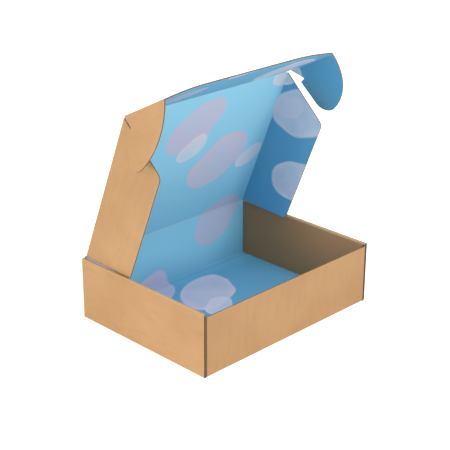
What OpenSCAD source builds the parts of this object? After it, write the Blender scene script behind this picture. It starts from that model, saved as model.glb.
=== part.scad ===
// Corrugated mailer box, folded from one die-cut sheet and standing open.
// X runs across the box, Y from the front wall to the rear wall, Z up.
// The origin is the centre of the underside.

/* [Box] */
// Outer width across the two side walls
box_w = 306; // [220:1:420]
// Outer depth from the front wall to the rear wall
box_d = 230; // [190:1:320]
// Outer height of the side walls
box_h = 86; // [70:1:130]
// Thickness of the corrugated board
board = 1.5; // [1.2:0.1:2.4]
// How much lower the front wall is than the side walls
front_drop = 4; // [3.4:0.1:9]

/* [Folds] */
// Inside radius where the base turns up into a wall
base_bend = 1.0; // [0.5:0.1:2]
// Inside radius of the two folds at the top of a side wall
top_bend = 0.3; // [0.2:0.1:0.5]
// Inside radius where a wall turns into its corner flap
corner_bend = 2; // [0.3:0.1:2.5]
// Gap between boards that lie flat against each other
ply_gap = 0.1; // [0.1:0.05:0.3]
// Gap beside a panel that slides past another
slide_gap = 0.3; // [0.2:0.05:0.6]
// Gap between a corner flap and the folds above and below it
fold_gap = 0.2; // [0.1:0.05:0.5]
// Half the gap left along a crease that works as a hinge
crease_gap = 0.15; // [0.1:0.05:0.3]

/* [Side walls] */
// How far a side wall stops short of the front and rear faces
side_setback = 0.5; // [0.3:0.1:2]
// Gap between the base and a panel that stands on it
floor_gap = 0.3; // [0.2:0.1:1]
// Length of a corner flap inside a side wall
corner_flap_len = 78; // [40:1:90]
// Chamfer at the free end of a corner flap
corner_flap_cut = 6; // [2:1:15]
// Length of each locking tab along a side wall
tab_len = 32; // [15:1:45]
// Distance between the centres of the two tabs of a side wall
tab_pitch = 104; // [60:1:120]
// How far a tab stops above the underside
tab_rise = 0.4; // [0.2:0.1:1]
// Gap round a tab in its slot
slot_gap = 0.2; // [0.1:0.05:0.4]

/* [Lid] */
// Angle of the lid above its closed position
lid_open = 68; // [0:1:110]
// Chamfer at the two front corners of the lid
lid_chamfer = 3; // [1:0.5:6]
// Gap between the base and the free edge of a side flap, lid closed
flap_floor_gap = 3.5; // [2:0.5:20]
// Distance from the rear crease to the side flap
flap_start = 2; // [1.9:0.1:8]
// Distance from the front crease to the side flap
flap_stop = 2; // [1.9:0.1:8]
// Slant of the rear edge of a side flap
flap_rear_slant = 18.5; // [10:0.5:30]
// Slant of the front edge of a side flap
flap_front_slant = 21.3; // [15:0.1:35]
// Radius of the rear corner of a side flap
flap_rear_r = 8; // [3:1:15]
// Radius of the front corner of a side flap
flap_front_r = 10; // [3:1:15]
// Angle of a side flap to the lid, 90 is square to it
flap_fold = 90; // [80:1:90]

/* [Tuck flap and ears] */
// Gap between the base and the edge of the tuck flap, lid closed
tuck_floor_gap = 2; // [1.8:0.1:10]
// Angle by which the tuck flap is folded down from the lid
tuck_fold = 37.4; // [0:0.1:90]
// Inward curl of the corners of the tuck flap
tuck_curl = 5; // [0:0.5:8]
// Width of each curled corner along the edge of the tuck flap
curl_w = 70; // [30:1:90]
// Relief cut beside the front crease, where each ear begins
ear_relief = 3; // [2:0.5:6]
// Angle by which each ear is folded in from the tuck flap
ear_fold = 69; // [0:1:90]
// Distance of the straight edge of an ear from the front crease
ear_edge = 10; // [8:0.5:14]
// Depth of the neck cut at the root of an ear, from the front crease
ear_neck = 17.5; // [16:0.5:20]
// Distance of the neck from the ear's crease
ear_neck_at = 18.5; // [17:0.5:22]
// Straight edge's start beside the neck, from the front crease
ear_barb = 8; // [6:0.5:12]
// Radius of the two corners of the neck
ear_neck_r = 1.5; // [1:0.5:2.5]
// Radius at the leading tip of an ear
ear_tip_r = 18; // [8:1:22]
// Distance from the front crease to the centre of the ear's round edge
ear_centre = 8; // [4:1:12]
// Distance from the ear's crease to the centre of its round edge
ear_centre_out = 2; // [0:0.5:6]

/* [Hidden] */
$fn = 96;
kraft = "#c99c6d";
print_blue = "#8cc6e6";
half_w = box_w / 2;
half_d = box_d / 2;
// Layers of a side wall, counted inwards from the outer face
flap_face = half_w - board - ply_gap;
inner_face = flap_face - board - ply_gap;
bay_half = inner_face - board;
base_r = base_bend + board;
top_r = top_bend + board;
corner_r = corner_bend + board;
top_under = box_h - board;
wall_foot = base_r + fold_gap;
// How far each fold runs into the flat panels beside it
weld = fold_gap / 2;
// How far a cut reaches past each face of the board
through = 1;
corner_top = top_under - top_bend - fold_gap;
front_top = box_h - front_drop;
// The tuck flap and its ears just clear the side walls, and the lid and its flaps clear the ears
tuck_half = bay_half - slide_gap;
lid_half = tuck_half - board - slide_gap;
lid_len = box_d - board - slide_gap;
rear_step = bay_half - slide_gap;
tuck_len = box_h - tuck_floor_gap;
flap_depth = box_h - flap_floor_gap;
curl_start = tuck_half - curl_w;
curl_angle = atan(tuck_curl / (tuck_len - ear_relief));
ear_r = tuck_len - ear_centre;

// Arc points from angle a to angle b
function arc(c, r, a, b, n) =
    [for (i = [0 : n]) [c[0] + r * cos(a + (b - a) * i / n), c[1] + r * sin(a + (b - a) * i / n)]];

function unit(v) = v / norm(v);

// Points that round the corner p between q and s with radius r
function round_corner(q, p, s, r, n) =
    let (u = unit(q - p), v = unit(s - p))
    let (half = acos(u * v) / 2, c = p + unit(u + v) * r / sin(half))
    let (m = p + u * r / tan(half) - c, w = p + v * r / tan(half) - c)
    let (a = atan2(m[1], m[0]), turn = atan2(m[0] * w[1] - m[1] * w[0], m * w))
    arc(c, r, a, a + turn, n);

// Quarter ring, the section of a fold, in the quadrant that starts at the given angle.
// A short tail at each end runs into the panel there.
module bend_section(inside_r, start)
{
    rotate(start) {
        intersection() {
            difference() {
                circle(r = inside_r + board);
                circle(r = inside_r);
            }
            square(inside_r + board);
        }
        translate([inside_r, -weld]) square([board, weld]);
        translate([-weld, inside_r]) square([weld, board]);
    }
}

// Extrudes a section drawn in X and Z along Y, centred
module along_y(len)
{
    translate([0, len / 2, 0]) rotate([90, 0, 0]) linear_extrude(len) children();
}

// Extrudes a section drawn in Y and Z along X, centred
module along_x(len)
{
    translate([-len / 2, 0, 0]) rotate([90, 0, 90]) linear_extrude(len) children();
}

// Outer panel of a side wall with its base fold and its rolled top
module side_shell_section()
{
    translate([half_w - base_r - board, 0]) square([board, board]);
    translate([half_w - base_r, base_r]) bend_section(base_bend, -90);
    translate([half_w - board, base_r]) square([board, box_h - base_r - top_r]);
    translate([half_w - top_r, box_h - top_r]) bend_section(top_bend, 0);
    translate([bay_half + top_r, top_under]) square([half_w - bay_half - 2 * top_r, board]);
    translate([bay_half + top_r, box_h - top_r]) bend_section(top_bend, 90);
}

module at_tabs()
{
    for (side = [-1, 1]) {
        translate([0, side * tab_pitch / 2, 0]) children();
    }
}

// Inner panel of a side wall, between the corner folds, with the tabs that lock it to the base
module side_inner()
{
    foot = board + floor_gap;
    half_len = half_d - corner_r;
    translate([bay_half, -half_len, foot]) cube([board, 2 * half_len, box_h - top_r - foot]);
    at_tabs() translate([bay_half, -tab_len / 2, tab_rise]) cube([board, tab_len, foot]);
}

module tab_slots()
{
    at_tabs() translate([bay_half - slot_gap, -tab_len / 2 - slot_gap, -through])
        cube([board + 2 * slot_gap, tab_len + 2 * slot_gap, board + 2 * through]);
}

// End wall that rises from the base fold, with the flap behind each of its corners
module end_wall(top)
{
    flat_half = flap_face - corner_r;
    along_x(box_w - 2 * base_r - board) {
        translate([half_d - base_r - board, 0]) square([board, board]);
        translate([half_d - base_r, base_r]) bend_section(base_bend, -90);
    }
    along_x(2 * flat_half) translate([half_d - board, base_r]) square([board, top - base_r]);
    for (side = [0, 1]) {
        mirror([side, 0, 0]) {
            translate([flat_half, half_d - corner_r, wall_foot])
                linear_extrude(top - wall_foot) bend_section(corner_bend, 0);
            corner_flap(top);
        }
    }
}

// Flap that lies between the two panels of a side wall, its free end chamfered
module corner_flap(top)
{
    y = half_d - corner_r;
    cut = corner_flap_cut;
    translate([flap_face - board, 0, 0]) rotate([90, 0, 90]) linear_extrude(board)
        polygon([[y, wall_foot], [y, top], [y - corner_flap_len + cut, top],
            [y - corner_flap_len, top - cut], [y - corner_flap_len, wall_foot + cut],
            [y - corner_flap_len + cut, wall_foot]]);
}

// Upper edge of the rear wall, cut back to a V along the lid's crease
module rear_crest()
{
    foot = corner_top - board;
    along_x(2 * rear_step)
        polygon([[half_d - board, foot], [half_d, foot], [half_d, box_h - crease_gap],
            [half_d - board, top_under - crease_gap]]);
}

module tray()
{
    color(kraft) {
        difference() {
            union() {
                translate([-(half_w - base_r), -(half_d - base_r), 0])
                    cube([box_w - 2 * base_r, box_d - 2 * base_r, board]);
                for (side = [0, 1]) {
                    mirror([side, 0, 0]) along_y(box_d - 2 * side_setback) side_shell_section();
                }
            }
            for (side = [0, 1]) {
                mirror([side, 0, 0]) tab_slots();
            }
        }
        for (side = [0, 1]) {
            mirror([side, 0, 0]) side_inner();
        }
        end_wall(corner_top);
        rear_crest();
        mirror([0, 1, 0]) end_wall(front_top);
    }
}

// Carries what is drawn on the closed lid to the open lid
module on_lid()
{
    translate([0, half_d, box_h]) rotate([-lid_open, 0, 0]) children();
}

// Carries what is drawn on the flat tuck flap to its folded place
module on_tuck()
{
    on_lid() translate([0, -lid_len, 0]) rotate([tuck_fold, 0, 0]) children();
}

// Lid, its front and rear edges cut back to a V where the sheet folds
module lid()
{
    far = lid_half - board - 2 * crease_gap;
    near = crease_gap;
    front = lid_len - crease_gap;
    color(print_blue) on_lid() difference() {
        intersection() {
            along_x(2 * lid_half)
                polygon([[-near, 0], [-front, 0], [-front + board, -board], [-near - board, -board]]);
            translate([-far, -lid_len, -board]) cube([2 * far, lid_len, board]);
        }
        for (side = [0, 1]) {
            mirror([side, 0, 0]) translate([far - lid_chamfer, -lid_len, -board - through]) rotate(-45)
                cube([2 * lid_chamfer + lid_len, 2 * lid_chamfer, board + 2 * through]);
        }
    }
}

// Flat panel under Z = 0, its outline given as distances out from and along the crease at X = 0
module panel(outline)
{
    translate([0, 0, -board]) linear_extrude(board) polygon([for (p = outline) [p[0], -p[1]]]);
}

// Side flap of the lid, drawn for the right side, its crease on the inside of the lid
module lid_flap()
{
    start = flap_start;
    stop = lid_len - flap_stop;
    pivot = board + crease_gap;
    reach = flap_depth - pivot;
    rear = start + flap_depth * tan(flap_rear_slant);
    front = stop - flap_depth * tan(flap_front_slant);
    outline = concat(
        [[0, start]],
        round_corner([0, start], [reach, rear], [reach, front], flap_rear_r, 12),
        round_corner([reach, rear], [reach, front], [0, stop], flap_front_r, 16),
        [[0, stop]]);
    translate([lid_half - pivot, 0, -pivot]) rotate([0, flap_fold, 0]) translate([0, 0, pivot])
        panel(outline);
}

module lid_flap_right()
{
    color(print_blue) on_lid() lid_flap();
}

module lid_flap_left()
{
    color(print_blue) on_lid() mirror([1, 0, 0]) lid_flap();
}

// One face of the tuck flap: the flat middle, and at each end a fan that curls in from the ear's root
function tuck_face(half, top, deep, n) =
    let (free = [for (i = [0 : n]) curl_start + (half - curl_start) * i / n])
    concat(
        [[-(half - ear_relief), -top, -deep], [-half, -ear_relief - top, -deep]],
        [for (i = [n : -1 : 0]) [-free[i], -tuck_len, -deep - tuck_curl * pow(i / n, 2)]],
        [for (i = [0 : n]) [free[i], -tuck_len, -deep - tuck_curl * pow(i / n, 2)]],
        [[half, -ear_relief - top, -deep], [half - ear_relief, -top, -deep]]);

module tuck_flap()
{
    n = 10;
    outer = tuck_face(tuck_half - crease_gap, crease_gap, 0, n);
    inner = tuck_face(tuck_half - crease_gap - board, crease_gap + board, board, n);
    m = len(outer);
    // Triangles of the left fan, the flat middle and the right fan, on one face
    left = [for (i = [2 : n + 1]) [1, i, i + 1]];
    right = [for (i = [n + 3 : m - 4]) [m - 2, i, i + 1]];
    middle = [[0, 1, n + 2], [0, n + 2, n + 3], [0, n + 3, m - 1], [m - 1, n + 3, m - 2]];
    face = concat(left, middle, right);
    color(print_blue) on_tuck() polyhedron(
        points = concat(outer, inner),
        faces = concat(
            [for (f = face) [f[2], f[1], f[0]]],
            [for (f = face) [f[0] + m, f[1] + m, f[2] + m]],
            [for (i = [0 : m - 1]) [(i + 1) % m, i + m, i]],
            [for (i = [0 : m - 1]) [(i + 1) % m + m, i + m, (i + 1) % m]]),
        convexity = 4);
}

// Ear of the tuck flap: a round locking flap with a neck at its root and a V edge, drawn for the right side
module ear()
{
    c = [ear_centre_out, ear_centre];
    tip_at = ear_edge + ear_tip_r;
    reach = sqrt(pow(ear_r - ear_tip_r, 2) - pow(tip_at - c[1], 2));
    tip = [c[0] + reach, tip_at];
    tip_angle = atan2(tip[1] - c[1], tip[0] - c[0]);
    ear_reach = c[0] + ear_r;
    neck = [ear_neck_at, ear_neck];
    barb = [ear_neck_at + 2 * ear_neck_r, ear_barb];
    outline = concat(
        [[0, ear_relief]],
        round_corner([0, ear_relief], neck, barb, ear_neck_r, 6),
        round_corner(neck, barb, [tip[0], ear_edge], ear_neck_r, 6),
        arc(tip, ear_tip_r, -90, tip_angle, 14),
        arc(c, ear_r, tip_angle, 90, 40),
        [[0, tuck_len]]);
    translate([tuck_half, -ear_relief, 0]) rotate([curl_angle, 0, 0]) rotate([0, ear_fold, 0])
        translate([0, ear_relief, 0]) intersection() {
            panel(outline);
            translate([0, -tuck_len / 2, 0]) along_y(tuck_len)
                polygon([[crease_gap, 0], [ear_reach, 0], [ear_reach, -board], [board + crease_gap, -board]]);
        }
}

module ear_right()
{
    color(print_blue) on_tuck() ear();
}

module ear_left()
{
    color(print_blue) on_tuck() mirror([1, 0, 0]) ear();
}

tray();
lid();
lid_flap_left();
lid_flap_right();
tuck_flap();
ear_left();
ear_right();
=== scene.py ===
import bpy
import math
from mathutils import Matrix, Vector


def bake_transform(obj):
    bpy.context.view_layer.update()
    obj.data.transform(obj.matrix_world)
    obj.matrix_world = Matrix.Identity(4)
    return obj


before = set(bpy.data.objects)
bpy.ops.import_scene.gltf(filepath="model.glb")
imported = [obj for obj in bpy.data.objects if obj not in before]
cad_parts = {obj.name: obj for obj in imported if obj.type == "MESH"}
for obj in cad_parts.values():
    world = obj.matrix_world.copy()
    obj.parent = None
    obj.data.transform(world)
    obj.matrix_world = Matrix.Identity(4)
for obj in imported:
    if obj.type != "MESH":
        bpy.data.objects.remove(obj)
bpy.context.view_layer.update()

# Sizes of the box in metres and angles in radians, as in the CAD model
MM = 0.001
W, D, H = 306 * MM, 230 * MM, 86 * MM
BOARD = 1.5 * MM
PLY_GAP = 0.1 * MM
SLIDE_GAP = 0.3 * MM
CREASE_GAP = 0.15 * MM
FRONT_TOP = H - 4 * MM
CORNER_R = 3.5 * MM
FLAP_FACE = W / 2 - BOARD - PLY_GAP
BAY = FLAP_FACE - 2 * BOARD - PLY_GAP
TUCK_HALF = BAY - SLIDE_GAP
LID_HALF = TUCK_HALF - BOARD - SLIDE_GAP
LID_LEN = D - BOARD - SLIDE_GAP
LID_CHAMFER = 3 * MM
TUCK_LEN = H - 2 * MM
FLAP_START = 2 * MM
RELIEF = 3 * MM
PIVOT = BOARD + CREASE_GAP
LID_OPEN = math.radians(68)
TUCK_FOLD = math.radians(37.4)
EAR_FOLD = math.radians(69)

# The tuck flap's corners curl away along its free edge, as a fan of ten flat facets
CURL, CURL_W, CURL_FACETS = 5 * MM, 70 * MM, 10
CURL_STEP = CURL_W / CURL_FACETS
CURL_LAST = CURL * (1 - 1 / CURL_FACETS) ** 2
CURL_ANGLE = math.atan(CURL / (TUCK_LEN - RELIEF))

# Frames of the open lid, the folded tuck flap, the right lid flap and the right ear:
# the outer face is at Z 0, and each panel runs along -Y or X from its crease
X_AXIS, Y_AXIS, Z_AXIS = Vector((1, 0, 0)), Vector((0, 1, 0)), Vector((0, 0, 1))
LID_M = Matrix.Translation((0, D / 2, H)) @ Matrix.Rotation(-LID_OPEN, 4, "X")
TUCK_M = LID_M @ Matrix.Translation((0, -LID_LEN, 0)) @ Matrix.Rotation(TUCK_FOLD, 4, "X")
FLAP_M = (
    LID_M @ Matrix.Translation((LID_HALF - PIVOT, 0, -PIVOT))
    @ Matrix.Rotation(math.radians(90), 4, "Y") @ Matrix.Translation((0, 0, PIVOT))
)
EAR_M = (
    TUCK_M @ Matrix.Translation((TUCK_HALF, -RELIEF, 0)) @ Matrix.Rotation(CURL_ANGLE, 4, "X")
    @ Matrix.Rotation(EAR_FOLD, 4, "Y") @ Matrix.Translation((0, RELIEF, 0))
)
SIDES = ((1, "right", Matrix.Identity(4)), (-1, "left", Matrix.Scale(-1, 4, X_AXIS)))

# Distances along the flat sheet from the middle of the base to the lid's and the tuck flap's creases
LID_V = D / 2 + H
TUCK_V = LID_V + LID_LEN


def srgb(r, g, b):
    """Linear colour of an sRGB colour written 0 to 255."""
    def linear(c):
        c /= 255
        return c / 12.92 if c <= 0.04045 else ((c + 0.055) / 1.055) ** 2.4
    return (linear(r), linear(g), linear(b), 1)


KRAFT = srgb(205, 161, 114)
KRAFT_DARK = srgb(179, 135, 90)
KRAFT_PALE = srgb(218, 181, 136)
# Painted shade of the tray's inner side panels
KRAFT_INNER_PAINTED_SHADE = srgb(171, 127, 89)
CORE = srgb(162, 124, 86)
FLUTE_HOLE = srgb(74, 54, 38)
# Painted shade of the front corner folds and of the side walls' end edges
END_PAINTED_SHADE = srgb(84, 76, 60)
BLUE_DEEP = srgb(112, 178, 212)
BLUE_MID = srgb(154, 224, 249)
BLUE_PALE = srgb(166, 232, 254)
BLUE_TUCK = srgb(124, 196, 229)
# Painted shade of the lid flaps and the ears
BLUE_SIDE_PAINTED_SHADE = srgb(92, 168, 208)
PEBBLE_WHITE = srgb(240, 237, 246)
PEBBLE_LILAC = srgb(200, 205, 232)
PEBBLE_PINK = srgb(232, 208, 228)
# Pale of the creases' inner faces: print cracked along the fold, with a painted highlight
FOLD_CRACK_AND_HIGHLIGHT = srgb(204, 230, 242)
SCORE = srgb(44, 96, 136)

# Marks of the kraft liner in the order they are laid on: noise cells to a metre along U and V, detail
# and roughness of the noise, the two values between which a mark fades in, its strength and colour
KRAFT_MARKS = {
    "mottle": ((9, 9), 2, 0.5, (0.35, 0.65), 0.36, KRAFT_DARK),
    "streak": ((130, 34), 3, 0.55, (0.42, 0.78), 0.24, KRAFT_DARK),
    "fibre": ((1500, 420), 4, 0.6, (0.42, 0.85), 0.34, KRAFT_PALE),
    "speck": ((1700, 1700), 2, 0.5, (0.6, 0.78), 0.3, KRAFT_DARK),
    "nick": ((260, 170), 1, 0.5, (0.76, 0.82), 0.5, CORE),
}
# Least roughness of bare paper and of ink, and what the noise adds at most
KRAFT_ROUGH, KRAFT_ROUGH_MORE = 0.68, 0.24
INK_ROUGH, INK_ROUGH_MORE = 0.5, 0.2
SPECULAR = 0.25
# Surface relief: strength, depth of a full step, and the washboard's and the fibres' shares of a step
BUMP, BUMP_DEPTH = 0.2, 0.2 * MM
WASHBOARD, FIBRE_HEIGHT = 0.18, 0.6

# Fluting: length of a wave, and on a cut edge, in board thicknesses, the wave's swing, half its paper's
# width, and how far from the middle the liners fade in
FLUTE_PITCH = 3.4 * MM
FLUTE_SWING, FLUTE_HALF = 0.27, 0.2
LINER_FROM = (0.33, 0.39)

# Print, with painted shade in its blues: metres along the sheet over which one blue passes into the
# next, their drift either way, the strength of the ink's grain, and the noise cells to a metre of both
DEEP_TO_MID = (0.06, 0.16)
MID_TO_PALE = (0.2, 0.36)
TONE_DRIFT, DRIFT_CELLS = 0.1, 4
GRAIN, GRAIN_CELLS = 0.08, 1500
# Printed pebbles: slant, slenderness, how far their places stray from an even grid, and how far their
# outline wobbles, in metres
PEBBLE_SLANT = math.radians(32)
PEBBLE_STRETCH = 1.6
PEBBLE_STRAY = 0.45
PEBBLE_WOBBLE, WOBBLE_CELLS = 0.02, 16
# Their least radius, what the largest has on top, and the widths of their edge and rim, in cells
PEBBLE_R, PEBBLE_R_MORE = 0.23, 0.12
PEBBLE_EDGE, PEBBLE_RIM = 0.03, 0.1
# How much paint covers them: least, what the blooms add at most, and what the rim adds
COVER, BLOOM_COVER, RIM_COVER = 0.46, 0.6, 0.12
BLOOM_CELLS = 26
# Two layers of them: cells to a metre, the least size shown, and a shift in metres along the slant
PEBBLE_LAYERS = ((6.0, 0.42, 0.2), (11.5, 0.74, 2.9))

# Score lines across the base, just before the rear wall
SCORES = (D / 2 - 4.2 * MM, D / 2 - 8.4 * MM)
SCORE_HALF = 0.5 * MM
# Slack round a face of the CAD model when a material looks for it
HAIR = 0.05 * MM
# How much of a normal lies along an axis: at least this on a flat cut edge, at least this on a wall
# that unfolds along it, and the two values between which a panel's outer or inner face fades in
CUT_FACE, UNFOLDS = 0.8, 0.6
PANEL_FACE = (0.45, 0.5)


class Graph:
    """Short calls that build the nodes of a material or a world."""

    def __init__(self, owner):
        owner.use_nodes = True
        self.owner = owner
        self.tree = owner.node_tree
        self.tree.nodes.clear()

    def node(self, kind, **values):
        n = self.tree.nodes.new(kind)
        for key, value in values.items():
            setattr(n, key, value)
        return n

    def put(self, socket, value):
        if isinstance(value, bpy.types.NodeSocket):
            self.tree.links.new(value, socket)
        else:
            socket.default_value = value

    def math(self, op, a, b=0.0, c=None):
        n = self.node("ShaderNodeMath", operation=op)
        self.put(n.inputs[0], a)
        self.put(n.inputs[1], b)
        if c is not None:
            self.put(n.inputs[2], c)
        return n.outputs[0]

    def above(self, v, limit):
        return self.math("GREATER_THAN", v, limit)

    def below(self, v, limit):
        return self.math("LESS_THAN", v, limit)

    def vec(self, op, a, b=(0, 0, 0)):
        n = self.node("ShaderNodeVectorMath", operation=op)
        self.put(n.inputs[0], a)
        self.put(n.inputs[1], b)
        return n.outputs["Value"] if op in ("DOT_PRODUCT", "LENGTH") else n.outputs[0]

    def xyz(self, v):
        n = self.node("ShaderNodeSeparateXYZ")
        self.put(n.inputs[0], v)
        return n.outputs

    def flat(self, x, y):
        """Vector with Z 0."""
        n = self.node("ShaderNodeCombineXYZ")
        self.put(n.inputs[0], x)
        self.put(n.inputs[1], y)
        return n.outputs[0]

    def rise(self, v, lo, hi):
        """0 below lo, 1 above hi, smooth between."""
        n = self.node("ShaderNodeMapRange", interpolation_type="SMOOTHSTEP")
        self.put(n.inputs["Value"], v)
        self.put(n.inputs["From Min"], lo)
        self.put(n.inputs["From Max"], hi)
        return n.outputs[0]

    def mix(self, fac, a, b):
        """Colour that goes from a to b."""
        n = self.node("ShaderNodeMix", data_type="RGBA", clamp_factor=True)
        self.put(n.inputs[0], fac)
        self.put(n.inputs[6], a)
        self.put(n.inputs[7], b)
        return n.outputs[2]

    def tint(self, col, colour, mask, strength):
        """colour laid over col, as thick as the mask times the strength."""
        return self.mix(self.math("MULTIPLY", mask, strength), col, colour)

    def between(self, fac, a, b):
        """Number that goes from a to b."""
        n = self.node("ShaderNodeMix", data_type="FLOAT", clamp_factor=True)
        self.put(n.inputs[0], fac)
        self.put(n.inputs[2], a)
        self.put(n.inputs[3], b)
        return n.outputs[0]

    def noise(self, v, scale, detail, rough=0.5, vector=False):
        n = self.node("ShaderNodeTexNoise", noise_dimensions="3D")
        self.put(n.inputs["Vector"], v)
        self.put(n.inputs["Scale"], scale)
        self.put(n.inputs["Detail"], detail)
        self.put(n.inputs["Roughness"], rough)
        return n.outputs[1 if vector else 0]

    def all(self, *masks):
        out = masks[0]
        for mask in masks[1:]:
            out = self.math("MULTIPLY", out, mask)
        return out

    def line(self, v, at, half):
        """1 at the value at, and smoothly down to 0 at half away from it."""
        away = self.math("ABSOLUTE", self.math("SUBTRACT", v, at))
        return self.math("SUBTRACT", 1.0, self.rise(away, half * 0.5, half))

    def seen(self):
        """1 for a ray from the camera, a reflection or glass, and 0 for any other."""
        path = self.node("ShaderNodeLightPath")
        either = self.math("MAXIMUM", path.outputs["Is Camera Ray"], path.outputs["Is Glossy Ray"])
        return self.math("MAXIMUM", either, path.outputs["Is Transmission Ray"])

    def paper(self, colour, rough, height):
        """Ends a paper material, and gives it."""
        n = self.node("ShaderNodeBsdfPrincipled")
        self.put(n.inputs["Base Color"], colour)
        self.put(n.inputs["Roughness"], rough)
        n.inputs["Specular IOR Level"].default_value = SPECULAR
        b = self.node("ShaderNodeBump")
        b.inputs["Strength"].default_value = BUMP
        b.inputs["Distance"].default_value = BUMP_DEPTH
        self.put(b.inputs["Height"], height)
        self.put(n.inputs["Normal"], b.outputs[0])
        self.put(self.node("ShaderNodeOutputMaterial").inputs[0], n.outputs[0])
        return self.owner


def flute_wave(g, across):
    return g.math("SINE", g.math("MULTIPLY", across, 2 * math.pi / FLUTE_PITCH))


def kraft_liner(g, uv):
    """Brown liner with its marks and the faint washboard of the flutes.
    Gives colour, roughness and height."""
    col, noises = KRAFT, {}
    for name, (cells, detail, rough, fade, strength, colour) in KRAFT_MARKS.items():
        noises[name] = g.noise(g.vec("MULTIPLY", uv, (*cells, 1)), 1.0, detail, rough)
        col = g.tint(col, colour, g.rise(noises[name], *fade), strength)
    fibre = noises["fibre"]
    wave = flute_wave(g, g.xyz(uv)[0])
    height = g.math("MULTIPLY_ADD", wave, WASHBOARD, g.math("MULTIPLY", fibre, FIBRE_HEIGHT))
    return col, g.math("MULTIPLY_ADD", fibre, KRAFT_ROUGH_MORE, KRAFT_ROUGH), height


def pebbles(g, uv, scale, least, shift):
    """Slanted ovals, one to a cell, each with its own size and tint. least leaves the small ones out.
    Gives where they show and their colour."""
    wander = g.vec("SUBTRACT", g.noise(uv, WOBBLE_CELLS, 1, vector=True), (0.5, 0.5, 0.5))
    place = g.vec("ADD", uv, g.vec("MULTIPLY", wander, (PEBBLE_WOBBLE, PEBBLE_WOBBLE, 0)))
    cos, sin = math.cos(PEBBLE_SLANT), math.sin(PEBBLE_SLANT)
    along = g.math("ADD", g.vec("DOT_PRODUCT", place, (cos, sin, 0)), shift)
    across = g.math("MULTIPLY", g.vec("DOT_PRODUCT", place, (-sin, cos, 0)), PEBBLE_STRETCH)
    cells = g.node("ShaderNodeTexVoronoi", voronoi_dimensions="2D", feature="F1")
    g.put(cells.inputs["Vector"], g.flat(along, across))
    cells.inputs["Scale"].default_value = scale
    cells.inputs["Randomness"].default_value = PEBBLE_STRAY
    size, tint, pink = g.xyz(cells.outputs["Color"])
    reach = cells.outputs["Distance"]
    radius = g.math("MULTIPLY_ADD", size, PEBBLE_R_MORE, PEBBLE_R)
    edge = g.math("SUBTRACT", radius, PEBBLE_EDGE)
    paint = g.mix(g.rise(tint, 0.1, 0.55), PEBBLE_LILAC, PEBBLE_WHITE)
    paint = g.tint(paint, PEBBLE_PINK, g.rise(pink, 0.5, 0.9), 0.7)
    # A paler rim and a soft bloom of the blue inside, as in a watercolour
    rim = g.rise(reach, g.math("SUBTRACT", radius, PEBBLE_RIM), edge)
    bloom = g.math("MULTIPLY_ADD", g.noise(uv, BLOOM_CELLS, 3), BLOOM_COVER, COVER)
    cover = g.math("MULTIPLY_ADD", rim, RIM_COVER, bloom)
    within = g.math("SUBTRACT", 1.0, g.rise(reach, edge, radius))
    return g.all(within, g.above(size, least), cover), paint


def printed_liner(g, uv):
    """Printed liner: blue that is palest on the lid and deeper towards the base, partly print and partly
    painted shade, and a painted shade of deeper blue on the lid flaps and the ears, under slanted
    pebbles. The ink is a little smoother than bare paper. Gives colour and roughness."""
    u, v, _ = g.xyz(uv)
    drift = g.math("MULTIPLY_ADD", g.noise(uv, DRIFT_CELLS, 2), 2 * TONE_DRIFT, -TONE_DRIFT)
    tone = g.math("ADD", v, drift)
    # Deep on the base to pale on the lid: partly the print's own gradient, partly painted shade inside
    # the box
    col = g.mix(g.rise(tone, *DEEP_TO_MID), BLUE_DEEP, BLUE_MID)
    col = g.mix(g.rise(tone, *MID_TO_PALE), col, BLUE_PALE)
    col = g.mix(g.rise(v, TUCK_V, TUCK_V + 3 * MM), col, BLUE_TUCK)
    # Painted shade: beyond the lid's sides, the lid flaps and the ears turn a deeper blue
    at_side = g.rise(g.math("ABSOLUTE", u), LID_HALF - 1 * MM, LID_HALF + 2 * MM)
    on_lid = g.rise(v, LID_V - 4 * MM, LID_V)
    col = g.mix(g.all(at_side, on_lid, 0.9), col, BLUE_SIDE_PAINTED_SHADE)
    for layer in PEBBLE_LAYERS:
        shown, paint = pebbles(g, uv, *layer)
        col = g.mix(shown, col, paint)
    grain = g.noise(uv, GRAIN_CELLS, 2)
    return g.tint(col, BLUE_DEEP, grain, GRAIN), g.math("MULTIPLY_ADD", grain, INK_ROUGH_MORE, INK_ROUGH)


def cut_edge(g, along, across):
    """Cut edge: two liners with the wave of the fluting between them. across runs from 0 to 1."""
    centre = g.math("MULTIPLY_ADD", flute_wave(g, along), FLUTE_SWING, 0.5)
    flute = g.line(g.math("SUBTRACT", across, centre), 0.0, FLUTE_HALF)
    liner = g.rise(g.math("ABSOLUTE", g.math("SUBTRACT", across, 0.5)), *LINER_FROM)
    return g.mix(g.math("MAXIMUM", flute, liner), FLUTE_HOLE, CORE)


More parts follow.
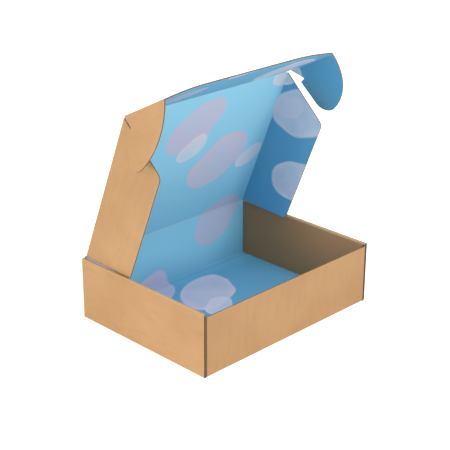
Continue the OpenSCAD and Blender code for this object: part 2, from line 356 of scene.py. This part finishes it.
def panel_material(name, matrix, side, origin, curled=False):
    """Material of a panel: kraft on its outer face, print on its inner face, cut edges between.
    matrix is the panel's frame, and origin is its crease on the flat sheet, where side says which way
    the panel's X runs."""
    g = Graph(bpy.data.materials.new(name))
    coord = g.node("ShaderNodeTexCoord")
    inverse = matrix.inverted()
    rows = [tuple(inverse[i][:3]) for i in range(3)]
    x, y, z = (
        g.math("ADD", g.vec("DOT_PRODUCT", coord.outputs["Object"], rows[i]), inverse[i][3])
        for i in range(3)
    )
    facing = g.vec("DOT_PRODUCT", coord.outputs["Normal"], rows[2])
    u = g.math("MULTIPLY_ADD", x, side, origin[0])
    v = g.math("SUBTRACT", origin[1], y)
    uv = g.flat(u, v)
    kraft, kraft_rough, height = kraft_liner(g, uv)
    print_col, print_rough = printed_liner(g, uv)
    if curled:
        # Z from the curled outer face
        past = g.math("MAXIMUM", g.math("SUBTRACT", g.math("ABSOLUTE", x), TUCK_HALF - CURL_W), 0.0)
        share = g.math("MULTIPLY", past, 1 / CURL_W)
        z = g.math("ADD", z, g.math("MULTIPLY", g.math("MULTIPLY", share, share), CURL))
    edge = cut_edge(g, u, g.math("MULTIPLY", z, -1 / BOARD))
    col = g.mix(g.rise(facing, *PANEL_FACE), edge, kraft)
    printed = g.rise(g.math("MULTIPLY", facing, -1.0), *PANEL_FACE)
    col = g.mix(printed, col, print_col)
    return g.paper(col, g.between(printed, kraft_rough, print_rough), height)


def tray_material():
    """Material of the tray: print on the base and on the insides of the end walls, kraft elsewhere."""
    g = Graph(bpy.data.materials.new("board_tray"))
    coord = g.node("ShaderNodeTexCoord")
    x, y, z = g.xyz(coord.outputs["Object"])
    nx, ny, nz = g.xyz(coord.outputs["Normal"])
    ax, ay = g.math("ABSOLUTE", x), g.math("ABSOLUTE", y)
    far_x, far_y = g.math("ABSOLUTE", nx), g.math("ABSOLUTE", ny)
    sign_x, sign_y = g.math("SIGN", x), g.math("SIGN", y)
    out_x, out_y = g.math("MULTIPLY", sign_x, nx), g.math("MULTIPLY", sign_y, ny)

    # Places on the flat sheet: the walls unfold outwards from the base
    u = g.math("MULTIPLY_ADD", g.above(far_x, UNFOLDS), g.math("MULTIPLY", sign_x, z), x)
    v = g.math("MULTIPLY_ADD", g.above(far_y, UNFOLDS), g.math("MULTIPLY", sign_y, z), y)
    uv = g.flat(u, v)
    kraft, kraft_rough, height = kraft_liner(g, uv)
    print_col, print_rough = printed_liner(g, uv)
    for at in SCORES:
        score = g.all(g.line(y, at, SCORE_HALF), g.below(z, 2 * MM))
        print_col = g.tint(print_col, SCORE, score, 0.6)

    # Painted highlight: the liner is paler over its bends.
    squareness = g.math("MAXIMUM", g.math("MAXIMUM", far_x, far_y), g.math("ABSOLUTE", nz))
    bent = g.math("SUBTRACT", 1.0, g.rise(squareness, 0.8, 0.99))
    kraft = g.tint(kraft, KRAFT_PALE, bent, 0.45)
    # Painted shade: the inner side panels, below their rolled tops, are a darker, browner kraft
    on_inner = g.all(g.below(out_x, -0.5), g.below(z, H - 3 * MM))
    kraft = g.tint(kraft, KRAFT_INNER_PAINTED_SHADE, on_inner, 0.85)

    inside = g.all(g.below(ax, BAY - HAIR), g.below(ay, D / 2 - BOARD + HAIR), g.above(z, BOARD - HAIR))
    # The inner face of each corner fold is seen past the end of the inner side panel
    to_x = g.math("SUBTRACT", ax, FLAP_FACE - CORNER_R)
    to_y = g.math("SUBTRACT", ay, D / 2 - CORNER_R)
    reach = g.vec("LENGTH", g.flat(to_x, to_y))
    outward = g.math("ADD", g.math("MULTIPLY", to_x, out_x), g.math("MULTIPLY", to_y, out_y))
    in_corner = g.all(g.above(to_x, 0.0), g.above(to_y, 0.0))
    in_fold = g.all(in_corner, g.below(reach, CORNER_R - BOARD + HAIR), g.below(outward, -HAIR))
    printed = g.math("MAXIMUM", inside, in_fold)
    col = g.mix(printed, kraft, print_col)

    # Painted shade: the front corner folds are darkened where they turn in behind the side walls' ends
    on_corner = g.all(
        in_corner, g.above(reach, CORNER_R - HAIR), g.above(outward, 0.0), g.below(y, 0.0),
        g.below(ax, FLAP_FACE + HAIR),
    )
    col = g.mix(g.all(on_corner, g.rise(far_x, 0.2, 0.75), 0.8), col, END_PAINTED_SHADE)

    # Cut edges: the front wall's top, and the ends of the side walls
    top_edge = g.all(
        g.above(nz, CUT_FACE), g.above(z, FRONT_TOP - HAIR), g.below(z, FRONT_TOP + HAIR),
        g.below(y, 0.0),
    )
    top_cut = cut_edge(g, x, g.math("MULTIPLY", g.math("SUBTRACT", ay, D / 2 - BOARD), 1 / BOARD))
    col = g.mix(top_edge, col, top_cut)
    end_edge = g.all(g.above(far_y, CUT_FACE), g.above(ax, BAY - HAIR))
    end_cut = cut_edge(g, z, g.math("MULTIPLY", g.math("SUBTRACT", ax, W / 2 - BOARD), 1 / BOARD))
    # Painted shade: the side walls' end edges are darkened towards the same shade as the front corner
    # folds
    col = g.mix(end_edge, col, g.mix(0.6, end_cut, END_PAINTED_SHADE))
    return g.paper(col, g.between(printed, kraft_rough, print_rough), height)


def fold_materials():
    """Kraft, print and cut edge for the folds, which carry their place on the flat sheet as a UV map."""
    mats = []
    for name in ("fold_kraft", "fold_print", "fold_edge"):
        g = Graph(bpy.data.materials.new(name))
        uv = g.node("ShaderNodeUVMap", uv_map="sheet").outputs[0]
        col, rough, height = kraft_liner(g, uv)
        if name == "fold_print":
            print_col, rough = printed_liner(g, uv)
            # The creases' inner faces are paler: the print cracked along the fold, and a painted
            # highlight on the crease
            col = g.mix(0.3, print_col, FOLD_CRACK_AND_HIGHLIGHT)
        elif name == "fold_edge":
            col = g.mix(g.rise(g.noise(uv, 900, 2), 0.35, 0.65), CORE, FLUTE_HOLE)
        mats.append(g.paper(col, rough, height))
    return mats


def set_material(obj, mat):
    obj.data.materials.clear()
    obj.data.materials.append(mat)


def dress_panels():
    """Materials of the seven CAD nodes."""
    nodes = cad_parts
    set_material(nodes["tray"], tray_material())
    set_material(nodes["lid"], panel_material("board_lid", LID_M, 1, (0, LID_V)))
    tuck = panel_material("board_tuck", TUCK_M, 1, (0, TUCK_V), curled=True)
    set_material(nodes["tuck_flap"], tuck)
    for side, name, turn in SIDES:
        flap = panel_material("board_flap_" + name, turn @ FLAP_M, side, (side * LID_HALF, LID_V))
        set_material(nodes["lid_flap_" + name], flap)
        ear = panel_material("board_ear_" + name, turn @ EAR_M, side, (side * TUCK_HALF, TUCK_V))
        set_material(nodes["ear_" + name], ear)


# Folds: how far they lap onto a panel, how far they stand proud of it, and the slots of their faces
LAP = 1.2 * MM
PROUD = 0.04 * MM
OUTER, INNER, ENDS = 0, 1, 2
# Inner side of a crease between its two panels: share of the turn, and depth under the crease
CREASE_BULGE = ((0.75, 1.95 * MM), (0.5, 1.75 * MM), (0.25, 1.95 * MM))
FLAP_STEPS = 10
# Distances of an ear's fold from the two ends of its crease
EAR_ROOT_GAP, EAR_TIP_GAP = 2 * MM, 0.2 * MM


def crease_ring(a_dir, a_out, b_dir, b_out):
    """Section of the sheet round a crease whose two panels are mitred. Each corner is (place, distance
    on the sheet, face), from the crease. dir runs into a panel, and out is its outward normal."""
    inner_a = a_dir * PIVOT - a_out * (BOARD + PROUD)
    inner_b = b_dir * PIVOT - b_out * (BOARD + PROUD)
    ring = [
        (a_dir * LAP + a_out * PROUD, -LAP, OUTER),
        (Vector((0, 0, 0)), 0.0, OUTER),
        (b_dir * LAP + b_out * PROUD, LAP, OUTER),
        (inner_b + b_dir * LAP / 2, PIVOT + LAP / 2, INNER),
        (inner_b, PIVOT, INNER),
    ]
    for share, depth in CREASE_BULGE:
        towards = inner_a.normalized().slerp(inner_b.normalized(), share)
        ring.append((towards * depth, (2 * share - 1) * PIVOT, INNER))
    ring.append((inner_a, -PIVOT, INNER))
    ring.append((inner_a + a_dir * LAP / 2, -PIVOT - LAP / 2, INNER))
    return ring


def flap_ring(a_dir, a_out, b_dir, b_out):
    """Section of the sheet round a lid flap's crease, which turns about the inside of the lid."""
    radius = PIVOT + PROUD
    ring = [(a_dir * LAP + a_out * radius, -2 * LAP, OUTER)]
    for i in range(FLAP_STEPS + 1):
        towards = a_out.slerp(b_out, i / FLAP_STEPS)
        ring.append((towards * radius, (2 * i / FLAP_STEPS - 1) * LAP, OUTER))
    ring.append((b_dir * LAP + b_out * radius, 2 * LAP, OUTER))
    under = CREASE_GAP - PROUD
    ring.append((b_dir * LAP * 0.8 + b_out * under, LAP, INNER))
    ring.append((Vector((0, 0, 0)), 0.0, INNER))
    ring.append((a_dir * LAP * 0.8 + a_out * under, -LAP, INNER))
    return ring


def fold(name, ring, ends, sheet_at, mats):
    """Sheet that runs through a crease: the ring swept between two ends, round the crease between two
    panels.
    """
    count = len(ring)
    verts = [end + place for end in ends for place, _, _ in ring]
    faces = [(i, (i + 1) % count, (i + 1) % count + count, i + count) for i in range(count)]
    faces += [tuple(reversed(range(count))), tuple(range(count, 2 * count))]
    mesh = bpy.data.meshes.new(name)
    mesh.from_pydata(verts, [], faces)
    layer = mesh.uv_layers.new(name="sheet")
    for poly in mesh.polygons:
        inner = all(ring[i % count][2] == INNER for i in poly.vertices)
        poly.material_index = ENDS if poly.index >= count else INNER if inner else OUTER
        for loop in poly.loop_indices:
            index = mesh.loops[loop].vertex_index
            layer.data[loop].uv = sheet_at(index // count, ring[index % count][1])
    for mat in mats:
        mesh.materials.append(mat)
    obj = bpy.data.objects.new(name, mesh)
    bpy.context.collection.objects.link(obj)
    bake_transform(obj)


def column(matrix, i):
    return Vector(matrix.col[i][:3]).normalized()


def cross_folds(mats):
    """Folds that run across the box: rear wall to lid, and lid to tuck flap."""
    lid_on, lid_out = -column(LID_M, 1), column(LID_M, 2)
    ring = crease_ring(-Z_AXIS, Y_AXIS, lid_on, lid_out)
    half = BAY - 2 * SLIDE_GAP
    rear = Vector((0, D / 2, H))
    ends = [rear - X_AXIS * half, rear + X_AXIS * half]
    fold("fold_lid_rear", ring, ends,
         lambda end, away: ((-half, half)[end], LID_V + away), mats)
    ring = crease_ring(-lid_on, lid_out, -column(TUCK_M, 1), column(TUCK_M, 2))
    half_front = LID_HALF - PIVOT - LID_CHAMFER
    front = TUCK_M.to_translation()
    ends = [front - X_AXIS * half_front, front + X_AXIS * half_front]
    fold("fold_lid_front", ring, ends,
         lambda end, away: ((-half_front, half_front)[end], TUCK_V + away),
         mats)


def side_folds(mats, side, name, turn):
    """Folds of one side: lid to lid flap, and tuck flap to ear."""
    lid, flap, ear, tuck = (turn @ m for m in (LID_M, FLAP_M, EAR_M, TUCK_M))
    # Lid flap
    ring = flap_ring(-column(lid, 0), column(lid, 2), column(flap, 0), column(flap, 2))
    first, last = FLAP_START, LID_LEN - LID_CHAMFER
    ends = [lid @ Vector((LID_HALF - PIVOT, -s, -PIVOT)) for s in (first, last)]
    fold("fold_lid_flap_" + name, ring, ends,
         lambda end, away: (side * (LID_HALF + away), LID_V + (first, last)[end]),
         mats)
    # Ear: the tuck flap beside it is the last flat facet of the curled corner
    root = tuck @ Vector((TUCK_HALF, -RELIEF, 0))
    tip = tuck @ Vector((TUCK_HALF, -TUCK_LEN, -CURL))
    beside = tuck @ Vector((TUCK_HALF - CURL_STEP, -TUCK_LEN, -CURL_LAST))
    along = (tip - root).normalized()
    inwards = beside - tip
    inwards = (inwards - along * inwards.dot(along)).normalized()
    out = inwards.cross(along).normalized()
    out = out if out.dot(column(tuck, 2)) > 0 else -out
    ring = crease_ring(inwards, out, column(ear, 0), column(ear, 2))
    ends = [root + along * EAR_ROOT_GAP, tip - along * EAR_TIP_GAP]
    fold("fold_ear_" + name, ring, ends,
         lambda end, away: (side * (TUCK_HALF + away), TUCK_V + (RELIEF, TUCK_LEN)[end]),
         mats)


# Floor: size and drop under the box in metres, its grey, and the glow that the camera gets on top of it
FLOOR_SIZE, FLOOR_DROP = 30, 0.2 * MM
FLOOR_GREY, FLOOR_GLOW = 0.9, 0.75
# Light of the world, and the white that the camera gets in its place
SKY_COLOUR, SKY_LIGHT = (0.95, 0.97, 1.0, 1), 0.53
WHITE = (1, 1, 1, 1)


def floor():
    """Plain pale floor that shows white to the eye and keeps the object's soft shadow."""
    bpy.ops.mesh.primitive_plane_add(size=FLOOR_SIZE, location=(0, 0, -FLOOR_DROP))
    obj = bpy.context.object
    obj.name = "floor"
    g = Graph(bpy.data.materials.new("floor"))
    diffuse = g.node("ShaderNodeBsdfDiffuse")
    diffuse.inputs["Color"].default_value = (FLOOR_GREY, FLOOR_GREY, FLOOR_GREY, 1)
    glow = g.node("ShaderNodeEmission")
    glow.inputs["Color"].default_value = WHITE
    g.put(glow.inputs["Strength"], g.math("MULTIPLY", g.seen(), FLOOR_GLOW))
    both = g.node("ShaderNodeAddShader")
    g.put(both.inputs[0], diffuse.outputs[0])
    g.put(both.inputs[1], glow.outputs[0])
    g.put(g.node("ShaderNodeOutputMaterial").inputs[0], both.outputs[0])
    set_material(obj, g.owner)


def studio():
    """Soft even world that shows white behind the floor."""
    world = bpy.data.worlds.new("studio")
    bpy.context.scene.world = world
    g = Graph(world)
    pick = g.node("ShaderNodeMixShader")
    g.put(pick.inputs[0], g.seen())
    for socket, colour, strength in ((1, SKY_COLOUR, SKY_LIGHT), (2, WHITE, 1.0)):
        light = g.node("ShaderNodeBackground")
        light.inputs["Color"].default_value = colour
        light.inputs["Strength"].default_value = strength
        g.put(pick.inputs[socket], light.outputs[0])
    g.put(g.node("ShaderNodeOutputWorld").inputs[0], pick.outputs[0])


def lamp(name, place, aim, size, watts, colour=(1, 1, 1)):
    light = bpy.data.lights.new(name, "AREA")
    light.shape = "SQUARE"
    light.size = size
    light.energy = watts
    light.color = colour
    obj = bpy.data.objects.new(name, light)
    bpy.context.collection.objects.link(obj)
    obj.location = place
    obj.rotation_euler = (Vector(aim) - Vector(place)).to_track_quat("-Z", "Y").to_euler()


# Camera at the photograph's place: metres, degrees about X, Y and Z, lens and sensor in millimetres,
# and the nearest and farthest that it sees in metres
CAMERA_PLACE = (-1.044978, -1.037335, 0.741725)
CAMERA_TURNS = (67.193393, -0.216865, -45.028159)
CAMERA_LENS, CAMERA_SENSOR = 97.2257, 36
CAMERA_NEAR, CAMERA_FAR = 0.05, 60


def camera():
    data = bpy.data.cameras.new("photo_camera")
    data.sensor_fit = "HORIZONTAL"
    data.sensor_width = CAMERA_SENSOR
    data.lens = CAMERA_LENS
    data.clip_start = CAMERA_NEAR
    data.clip_end = CAMERA_FAR
    obj = bpy.data.objects.new("photo_camera", data)
    bpy.context.collection.objects.link(obj)
    bpy.context.scene.camera = obj
    obj.location = CAMERA_PLACE
    obj.rotation_euler = [math.radians(turn) for turn in CAMERA_TURNS]


dress_panels()
fold_mats = fold_materials()
cross_folds(fold_mats)
for side, name, turn in SIDES:
    side_folds(fold_mats, side, name, turn)
floor()
studio()
lamp("key_left", place=(-2.6, 0.1, 0.32), aim=(0, 0, 0.12), size=0.9, watts=31, colour=(1, 0.985, 0.96))
lamp("fill_front", place=(0.5, -2.8, 1.1), aim=(0, 0, 0.15), size=1.4, watts=19)
lamp("top_soft", place=(-0.2, -1.0, 2.5), aim=(0, 0, 0.1), size=1.6, watts=26)
camera()
bpy.context.scene.view_settings.view_transform = "Standard"
